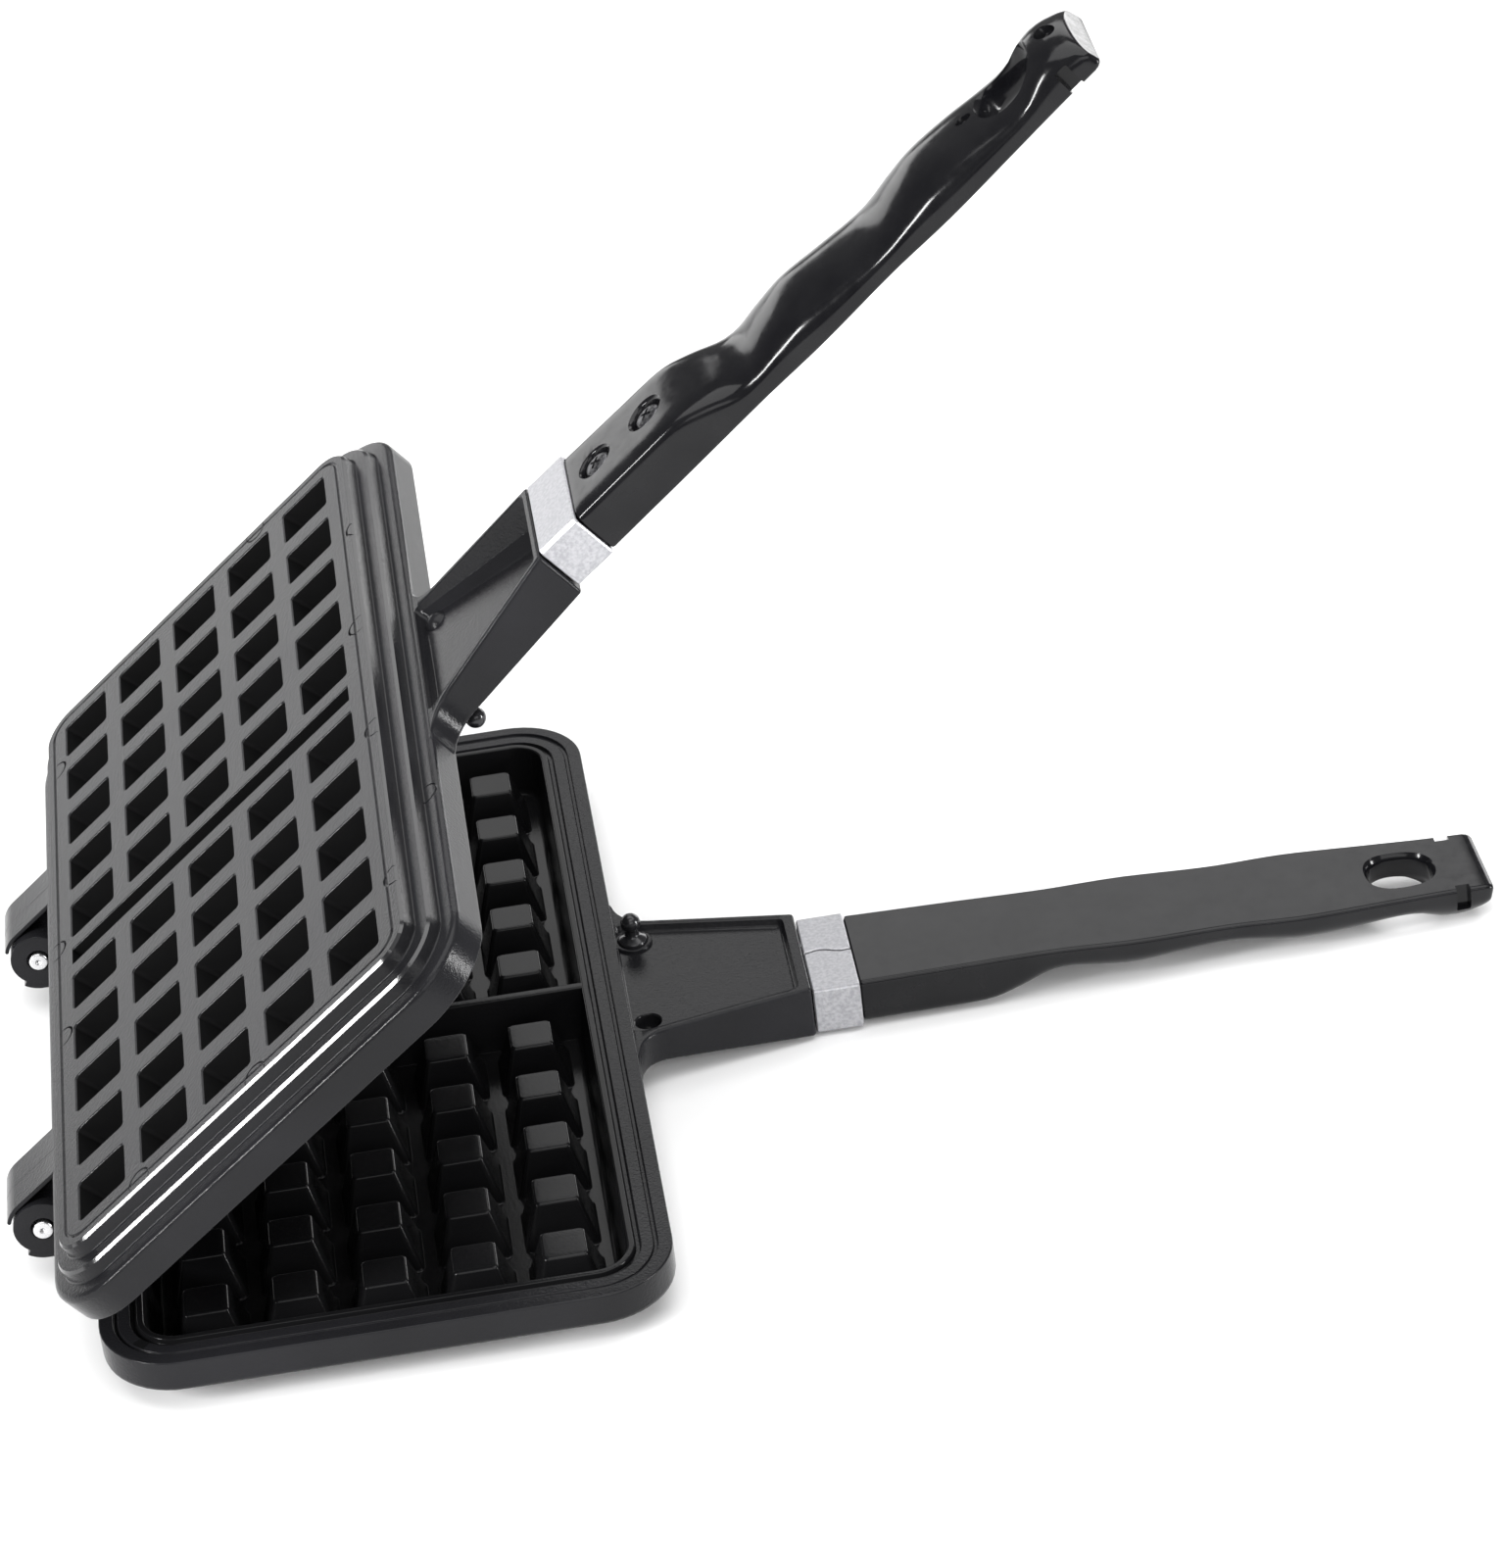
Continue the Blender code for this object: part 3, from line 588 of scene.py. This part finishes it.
def dome():
    bm = bmesh.new()
    profile = [
        (3.15 * math.cos(t), -3.5 - 3.15 * math.sin(t))
        for t in [math.radians(86.0 - 12.0 * k) for k in range(7)]
    ]
    add_turned(bm, profile + [(3.15, -3.5), (3.15, -2.4)], (LOC_X, -LOC_Y, 0.0))
    return bm


def pin_seat():
    bm = bmesh.new()
    profile = rounded(((0.5, -2.4, 0), (4.5, -2.4, 0), (4.4, -1.3, 0.35), (0.5, -1.15, 0)), 4)
    add_turned(bm, profile, (LOC_X, LOC_Y, 0.0), seg=40)
    return bm


def ejector_marks():
    """Shallow crescents left by the ejector pins at the plateau's edge."""
    bm = bmesh.new()
    for x, y, turn in (
        (51.4, 81.7, 0.0), (51.2, 22.2, 0.0), (50.2, -23.2, 0.0), (53.0, -65.4, 0.0),
        (-48.7, 28.3, 180.0), (-50.1, -7.8, 180.0), (-48.5, -84.3, 180.0),
        (57.4, 51.5, 200.0), (8.0, 105.6, 90.0), (-27.0, 104.9, 90.0), (22.0, -105.2, 270.0),
    ):  # fmt: skip
        rings = []
        for k in range(15):
            t = math.radians(turn + 65.0 + 230.0 * k / 14.0)
            thin = 0.1 + 0.42 * math.sin(math.pi * k / 14.0)
            loop = []
            for dr, z in ((-thin, -14.7), (thin, -14.7), (0.3 * thin, -13.85), (-0.3 * thin, -13.85)):
                if abs(x) > 55.0:
                    z += 6.4
                loop.append((x + (2.9 + dr) * math.cos(t), y + (2.9 + dr) * math.sin(t), z))
            rings.append(loop)
        add_loft(bm, rings)
    return bm


def knuckle_outline():
    hx = HINGE_X
    inside = -PLATE_HX + 2.0
    end = 270.0 - COVER_END_DEG
    return (
        [(inside, -COVER_OUT)]
        + arc(hx, 0.0, COVER_OUT, 270.0, end + 0.7, 12)
        + arc(hx, 0.0, KNUCKLE_R, end - 0.7, -4.0, 48)
        + [(inside, -KNUCKLE_R * math.sin(math.radians(4.0)))]
    )


def cover_outline():
    hx = HINGE_X
    inside = -PLATE_HX + 1.7
    outer, inner = COVER_OUT - 0.03, COVER_IN + 0.03
    end = 270.4 - COVER_END_DEG
    mid = (outer + inner) / 2.0
    half = (outer - inner) / 2.0
    tip = []
    for k in range(1, 6):
        a = math.pi * k / 6.0
        r = mid + half * math.cos(a)
        back = math.radians(end) - half * math.sin(a) / mid
        tip.append((hx + r * math.cos(back), r * math.sin(back)))
    return (
        [(inside, -outer)]
        + arc(hx, 0.0, outer, 270.0, end, 13)
        + tip
        + arc(hx, 0.0, inner, end, 270.0, 13)
        + [(inside, -inner)]
    )


def add_rounded_prism(bm, outline, y0, y1, edge=0.35):
    """An outline in (x, z) drawn along Y, with its end edges rounded."""
    n = len(outline)
    area = sum(
        outline[i][0] * outline[(i + 1) % n][1] - outline[(i + 1) % n][0] * outline[i][1]
        for i in range(n)
    )
    sign = 1.0 if area > 0 else -1.0
    normals = []
    for i in range(n):
        a, b, c = Vector(outline[i - 1]), Vector(outline[i]), Vector(outline[(i + 1) % n])
        d1, d2 = (b - a).normalized(), (c - b).normalized()
        n1 = Vector((-d1.y, d1.x)) * sign
        n2 = Vector((-d2.y, d2.x)) * sign
        m = n1 + n2
        m = m.normalized() if m.length > 0.2 else n1
        normals.append(m / max(0.5, m.dot(n1)))
    rings = []
    for y, inset in (
        (y0, edge), (y0 + 0.3 * edge, 0.3 * edge), (y0 + edge, 0.0),
        (y1 - edge, 0.0), (y1 - 0.3 * edge, 0.3 * edge), (y1, edge),
    ):  # fmt: skip
        rings.append(
            [(p[0] + m.x * inset, y, p[1] + m.y * inset) for p, m in zip(outline, normals)]
        )
    add_loft(bm, rings)


def knuckles():
    bm = bmesh.new()
    outline = knuckle_outline()
    add_rounded_prism(bm, outline, HINGE_NEAR, HINGE_SPLIT - 0.15)
    add_rounded_prism(bm, outline, -HINGE_FAR, -HINGE_SPLIT - 0.15)
    return bm


def covers():
    bm = bmesh.new()
    outline = cover_outline()
    add_rounded_prism(bm, outline, HINGE_SPLIT - 0.9, HINGE_FAR - 0.8, 0.25)
    add_rounded_prism(bm, outline, -HINGE_SPLIT - 0.9, -HINGE_NEAR - 2.0, 0.25)
    return bm


def drill():
    bm = bmesh.new()
    bore = PIN_R + PIN_GAP
    for y0, y1 in ((HINGE_NEAR, HINGE_SPLIT), (-HINGE_FAR, -HINGE_SPLIT)):
        add_turned(
            bm,
            [(bore + 0.9, y0 - 0.6), (bore + 0.35, y0 - 0.05), (bore, y0 + 0.35), (bore, y1 + 1.0)],
            (HINGE_X, 0.0, 0.0),
            "Y",
        )
    add_turned(bm, [(2.3, -4.5), (2.3, -1.75), (3.6, -1.75), (3.6, -0.9)], (LOC_X, LOC_Y, 0.0))
    for x in SCREW_X:
        add_turned(bm, [(SHANK_R + 0.3, -11.0), (SHANK_R + 0.3, -3.0)], (x, 0.0, 0.0))
    return bm


def locating_hole():
    bm = bmesh.new()
    r = LOC_HOLE_R
    add_turned(
        bm,
        [(0.5, -6.05), (1.2, -5.95), (1.9, -5.6), (2.4, -5.0), (r, -3.9), (r, -2.5), (r + 0.12, -2.2),
         (r + 0.4, -2.0), (r + 1.2, -1.5)],
        (LOC_X, -LOC_Y, 0.0),
    )
    return bm


def pan_mesh():
    return carve(
        shell(),
        [
            ("UNION", pegs()),
            ("DIFFERENCE", cells()),
            ("UNION", arm()),
            ("DIFFERENCE", inner_pocket()),
            ("DIFFERENCE", outer_pocket()),
            ("UNION", dome()),
            ("UNION", pin_seat()),
            ("UNION", tang()),
            ("UNION", knuckles()),
            ("UNION", covers()),
            ("DIFFERENCE", drill()),
            ("DIFFERENCE", locating_hole()),
            ("DIFFERENCE", ejector_marks()),
        ],
    )


# ---------------------------------------------------------------- ferrule
def ferrule_mesh():
    """Folded sheet with a wavy seam down its inner face."""
    bm = bmesh.new()
    count = 13
    rings = []
    for k in range(count):
        s = k / (count - 1)
        x = FERRULE_X0 + (FERRULE_X1 - FERRULE_X0) * s
        seam = 0.6 + 0.75 * math.sin(2.0 * math.pi * (s - 0.08))
        inset = 0.3 if k in (0, count - 1) else 0.0
        if k == 1:
            x = FERRULE_X0 + 0.3
        if k == count - 2:
            x = FERRULE_X1 - 0.3
        sides = []
        for off, soft, chamfer in ((inset, 0.6, 0.85), (SHEET, 0.4, 0.7)):
            hy, z0, z1 = FERRULE_HY - off, FERRULE_Z0 + off, FERRULE_Z1 - off
            lip = 0.15 if off == inset else 0.0
            fold = 0.4 if off == inset else 0.0
            sides.append(
                rounded(
                    (
                        (seam + 0.26, -z0 - lip, 0), (seam + 0.6, -z0, 0.2),
                        (hy, -z0, soft), (hy, -z1 + chamfer, 0.25),
                        (hy - chamfer * 0.9, -z1, 0.25), (-hy + chamfer * 0.9, -z1, 0.25),
                        (-hy, -z1 + chamfer, 0.25), (-hy, -z0 - 0.55, 0.1),
                        (-hy + 0.55, -z0 - 0.55 + fold * 0.3, 0.08), (-hy + 0.6, -z0, 0.12),
                        (seam - 0.6, -z0, 0.2), (seam - 0.26, -z0 - lip, 0),
                    ),
                    3,
                )
            )  # fmt: skip
        rings.append([(x, y, z) for y, z in sides[0] + list(reversed(sides[1]))])
    rows = add_loft(bm, rings, cap_first=False, cap_last=False)
    n = len(rings[0])
    for row, flip in ((rows[0], False), (rows[-1], True)):
        for i in range(n // 2 - 1):
            j = n - 1 - i
            quad = [row[k] for k in (i, i + 1, j - 1, j)]
            bm.faces.new(quad if flip else list(reversed(quad)))
    return plain(bm)


# ---------------------------------------------------------------- handle
HANDLE_OUT = (
    (112.9, 13.4), (130.0, 13.5), (143.0, 13.5), (150.0, 12.2), (159.0, 9.7),
    (167.0, 11.0), (175.0, 12.0), (185.0, 11.0), (197.0, 9.9), (206.0, 11.6),
    (213.0, 12.6), (223.0, 12.2), (235.5, 10.7), (240.5, 11.3), (244.5, 13.2),
    (248.5, 14.0), (253.0, 13.3), (257.4, 11.4),
)  # fmt: skip
HANDLE_IN = ((112.9, 1.9), (150.0, 2.2), (200.0, 3.1), (257.4, 4.0))
HANDLE_HALF = (
    (112.9, 14.2), (135.0, 13.7), (158.0, 13.2), (176.0, 13.9), (197.0, 13.1),
    (214.0, 13.8), (233.0, 12.7), (246.0, 11.9), (257.4, 11.6),
)  # fmt: skip
SQUARENESS = ((112.9, 9.0), (140.0, 8.0), (148.0, 4.5), (157.0, 2.45), (257.4, 2.3))
END_LEAN = 1.8


def handle_section(x, hy, z0, z1, power):
    edge = 1.1
    side = z0 + 2.6
    points = rounded(
        ((-hy, -side, 0), (-hy, -z0, edge), (hy, -z0, edge), (hy, -side, 0)), 4
    )[1:-1]
    steps = 41
    for k in range(steps):
        a = math.pi * k / (steps - 1)
        c, s = math.cos(a), math.sin(a)
        y = hy * math.copysign(abs(c) ** (2.0 / power), c)
        z = side + (z1 - side) * max(s, 0.0) ** (2.0 / power)
        points.append((y, -z))
    # the end face leans back towards the outer side
    lean = END_LEAN * max(0.0, x - 250.0) / (HANDLE_END - 250.0)
    return [(x - lean * max(0.0, -z - 5.2) / 8.0, y, z) for y, z in points]


def handle_body():
    bm = bmesh.new()
    clear = SHEET + 0.25
    neck = (FERRULE_HY - clear, FERRULE_Z0 + clear, FERRULE_Z1 - clear, 7.0)
    rings = [handle_section(x, *neck) for x in (FERRULE_X0 + 0.3, HANDLE_X0 - 0.15)]
    ends = ((HANDLE_X0, 0.35), (HANDLE_X0 + 0.15, 0.1), (HANDLE_X0 + 0.5, 0.0))
    tail = ((255.2, 0.0), (256.2, 0.12), (256.9, 0.4), (257.25, 0.75), (HANDLE_END, 1.2))
    stations = list(ends) + [(115.0 + 2.0 * k, 0.0) for k in range(70)] + list(tail)
    for x, shrink in stations:
        rings.append(
            handle_section(
                x,
                smooth(HANDLE_HALF, x) - shrink,
                smooth(HANDLE_IN, x) + shrink,
                smooth(HANDLE_OUT, x) - shrink,
                smooth(SQUARENESS, x),
            )
        )
    add_loft(bm, rings)
    return bm


def tang_cavity():
    bm = bmesh.new()
    hy, z0, z1 = TANG_HY + 0.3, -TANG_Z0 + 0.3, -TANG_Z1 - 0.3
    loop = rounded_loop(((-hy, z0, 0.7), (hy, z0, 0.7), (hy, z1, 0.7), (-hy, z1, 0.7)), 3)
    add_loft(bm, [[(x, y, z) for y, z in loop] for x in (100.0, TANG_END + 0.35)])
    return bm


def screw_bores():
    bm = bmesh.new()
    for x in SCREW_X:
        add_turned(
            bm,
            [(5.6, -14.2), (4.7, -13.45), (4.3, -13.25), (4.1, -12.9), (3.8, -11.7),
             (SHANK_R + 0.3, -11.7), (SHANK_R + 0.3, -9.0)],
            (x, 0.0, 0.0),
            seg=40,
        )
    return bm


def hanging_hole():
    bm = bmesh.new()
    loops = []
    for z, grow in (
        (-16.0, 2.2), (-12.0, 1.3), (-10.9, 0.8), (-10.0, 0.25), (-9.0, 0.0),
        (-5.6, 0.0), (-4.7, 0.2), (-4.1, 0.6), (-3.0, 1.4),
    ):  # fmt: skip
        loop = []
        for k in range(48):
            a = 2.0 * math.pi * k / 48
            c, s = math.cos(a), math.sin(a)
            wide = 6.3 * (1.0 - 0.06 * c) + (0.6 if z < -8.0 else 0.0)
            loop.append(
                (
                    238.4 + (7.2 + grow) * math.copysign(abs(c) ** 0.8, c),
                    (wide + grow) * math.copysign(abs(s) ** 0.8, s),
                    z,
                )
            )
        loops.append(loop)
    add_loft(bm, loops)
    for x, rx, ry, depth in ((227.5, 1.8, 1.4, 10.2), (252.0, 2.0, 2.4, 11.2)):
        rings = []
        for z, grow in (
            (-15.0, 0.5), (-depth - 1.9, 0.3), (-depth - 1.3, 0.05),
            (-depth - 0.5, 0.0), (-depth - 0.1, -0.25), (-depth, -0.6),
        ):  # fmt: skip
            rings.append(
                [
                    (
                        x + (rx + grow) * math.cos(2.0 * math.pi * k / 28),
                        (ry + grow) * math.sin(2.0 * math.pi * k / 28),
                        z,
                    )
                    for k in range(28)
                ]
            )
        add_loft(bm, rings)
    return bm


def end_grooves():
    bm = bmesh.new()
    for side in (-1.0, 1.0):
        loop = rounded_loop(
            ((248.7, -9.6, 0.5), (251.9, -9.6, 0.5), (251.9, -1.0, 0), (248.7, -1.0, 0)), 3
        )
        ys = sorted((side * 9.5, side * 16.0))
        add_loft(bm, [[(x, y, z) for x, z in loop] for y in ys])
    return bm


def handle_mesh():
    return carve(
        handle_body(),
        [
            ("DIFFERENCE", tang_cavity()),
            ("DIFFERENCE", screw_bores()),
            ("DIFFERENCE", hanging_hole()),
            ("DIFFERENCE", end_grooves()),
        ],
    )


# ---------------------------------------------------------------- hardware
def screw_mesh(x):
    bm = bmesh.new()
    profile = [(0.4, -13.3)] + [
        (3.15 * math.sin(a), -12.45 - 0.85 * math.cos(a))
        for a in [math.radians(8.0 + 82.0 * k / 9.0) for k in range(10)]
    ] + [(HEAD_R, -12.25), (HEAD_R, -12.0), (SHANK_R, -12.0), (SHANK_R, -5.6), (SHANK_R - 0.5, -5.0)]
    add_turned(bm, profile, (x, 0.0, 0.0), seg=40)
    cross = bmesh.new()
    w, r = 0.42, 2.0
    outline = [
        (r, -w), (r, w), (w, w), (w, r), (-w, r), (-w, w), (-r, w), (-r, -w),
        (-w, -w), (-w, -r), (w, -r), (w, -w),
    ]  # fmt: skip
    turn = math.radians(35.0)
    c, s = math.cos(turn), math.sin(turn)
    add_loft(
        cross,
        [
            [(x + k * (u * c - v * s), k * (u * s + v * c), z) for u, v in outline]
            for z, k in ((-13.8, 1.05), (-12.2, 0.6))
        ],
    )
    return carve(bm, [("DIFFERENCE", cross)])


def locating_pin_mesh():
    bm = bmesh.new()
    ball = [
        (2.3 * math.sin(a), 3.5 + 2.3 * math.cos(a))
        for a in [math.radians(6.0 + 134.0 * k / 18.0) for k in range(19)]
    ]
    foot = rounded(
        ((1.45, 1.4, 0), (1.5, 0.3, 0.8), (3.3, -0.7, 0.5), (3.4, -1.7, 0.1), (2.0, -1.7, 0.05),
         (2.0, -4.1, 0.2), (1.6, -4.3, 0)),
        4,
    )
    add_turned(bm, ball + foot, (LOC_X, LOC_Y, 0.0), seg=36)
    return plain(bm)


def hinge_pin_mesh(y0):
    bm = bmesh.new()
    r = PIN_R
    profile = rounded(
        (
            (0.1, 0.55, 0), (0.75, 0.0, 0.2), (r, 0.0, 0.45), (r, PIN_LEN, 0.45),
            (0.75, PIN_LEN, 0.2), (0.1, PIN_LEN - 0.55, 0),
        ),
        4,
    )
    add_turned(bm, profile, (HINGE_X, y0, 0.0), "Y", 36)
    return plain(bm)


PAN = pan_mesh()
FERRULE = ferrule_mesh()
HANDLE = handle_mesh()
LOCATOR = locating_pin_mesh()
SCREWS = {label: screw_mesh(x) for label, x in zip(("front", "rear"), SCREW_X)}

for half in ("lower", "upper"):
    show(half + "_casting", PAN, half, half + "_pan", (COAT, TRAY, CELL_PAINTED_SHADE, EDGE_PAINTED_HIGHLIGHT), pick_pan)
    show(half + "_sleeve", FERRULE, half, half + "_ferrule", (CHROME,))
    show(half + "_grip", HANDLE, half, half + "_handle", (BAKELITE,))
    show(half + "_locator", LOCATOR, half, half + "_locating_pin", (BLACK_PIN,))
    for label, mesh in SCREWS.items():
        show(half + "_fixing_" + label, mesh, half, half + "_screw_" + label, (SCREW,))
show("pivot_far", hinge_pin_mesh(43.4), "lower", "hinge_pin_far", (STEEL,))
show("pivot_near", hinge_pin_mesh(-43.4 - PIN_LEN), "lower", "hinge_pin_near", (STEEL,))


# ---------------------------------------------------------------- stage
def stage_floor():
    mesh = bpy.data.meshes.new("floor")
    bm = bmesh.new()
    bmesh.ops.create_grid(bm, x_segments=1, y_segments=1, size=6.0)
    bm.to_mesh(mesh)
    bm.free()
    floor = bpy.data.objects.new("floor", mesh)
    SCENE.collection.objects.link(floor)
    mat, _, shader = principled("floor", (0.93, 0.93, 0.93), 0.0, 0.9)
    shader.inputs["Specular IOR Level"].default_value = 0.1
    mesh.materials.append(mat)
    floor.location = (0.0, 0.0, -0.0003)


def area_light(name, location, target, size_x, size_y, energy):
    data = bpy.data.lights.new(name, "AREA")
    data.shape = "RECTANGLE"
    data.size, data.size_y, data.energy = size_x, size_y, energy
    light = bpy.data.objects.new(name, data)
    SCENE.collection.objects.link(light)
    light.location = location
    aim = Vector(target) - Vector(location)
    light.rotation_euler = aim.to_track_quat("-Z", "Y").to_euler()
    return light


def stage_light():
    world = bpy.data.worlds.new("studio")
    SCENE.world = world
    world.use_nodes = True
    back = world.node_tree.nodes["Background"]
    back.inputs["Color"].default_value = (1.0, 1.0, 1.0, 1.0)
    back.inputs["Strength"].default_value = 0.2
    area_light("overhead", (0.1, -0.1, 2.4), (0.0, 0.0, 0.0), 3.0, 3.0, 80.0)
    area_light("front", (0.35, -2.3, 1.3), (0.05, 0.0, 0.0), 2.0, 0.9, 13.0)
    area_light("far_left", (-1.1, 2.05, 0.32), (0.0, 0.0, 0.1), 1.3, 0.5, 4.5)
    area_light("far", (0.05, 1.9, 1.25), (0.0, 0.0, 0.05), 1.3, 0.7, 5.2)
    area_light("far_right", (1.3, 1.9, 0.4), (0.0, 0.0, 0.1), 1.1, 0.6, 9.0)
    area_light("right_strip", (2.0, -0.7, 0.45), (0.0, 0.0, 0.1), 0.35, 0.8, 34.0)
    area_light("left_strip", (-1.75, -1.0, 1.02), (-0.05, -0.1, 0.1), 0.26, 0.9, 52.0)


def stage_camera():
    right = Vector((0.9880424525579651, -0.09515933215930061, -0.12131288234281509))
    down = Vector((-0.15351020398515147, -0.5337766227260188, -0.8315750924021486))
    ahead = Vector((0.014378149803190417, 0.8402542582660326, -0.5420018913934119))
    place = (Vector((34.57774213317067, -974.2847796158202, 651.7997660704021)) + SHIFT) * MM
    data = bpy.data.cameras.new("camera")
    camera = bpy.data.objects.new("camera", data)
    SCENE.collection.objects.link(camera)
    turn = Matrix((right, -down, -ahead)).transposed().to_4x4()
    camera.matrix_world = Matrix.Translation(place) @ turn
    data.sensor_fit = "HORIZONTAL"
    data.sensor_width = 36.0
    data.lens = 5305.009 / 1533.0 * 36.0
    data.shift_x = (766.5 - 580.319) / 1533.0
    data.shift_y = (915.633 - 800.0) / 1533.0
    data.clip_start, data.clip_end = 0.05, 50.0
    SCENE.camera = camera


stage_floor()
stage_light()
stage_camera()
SCENE.view_settings.view_transform = "Standard"
SCENE.view_settings.look = "None"
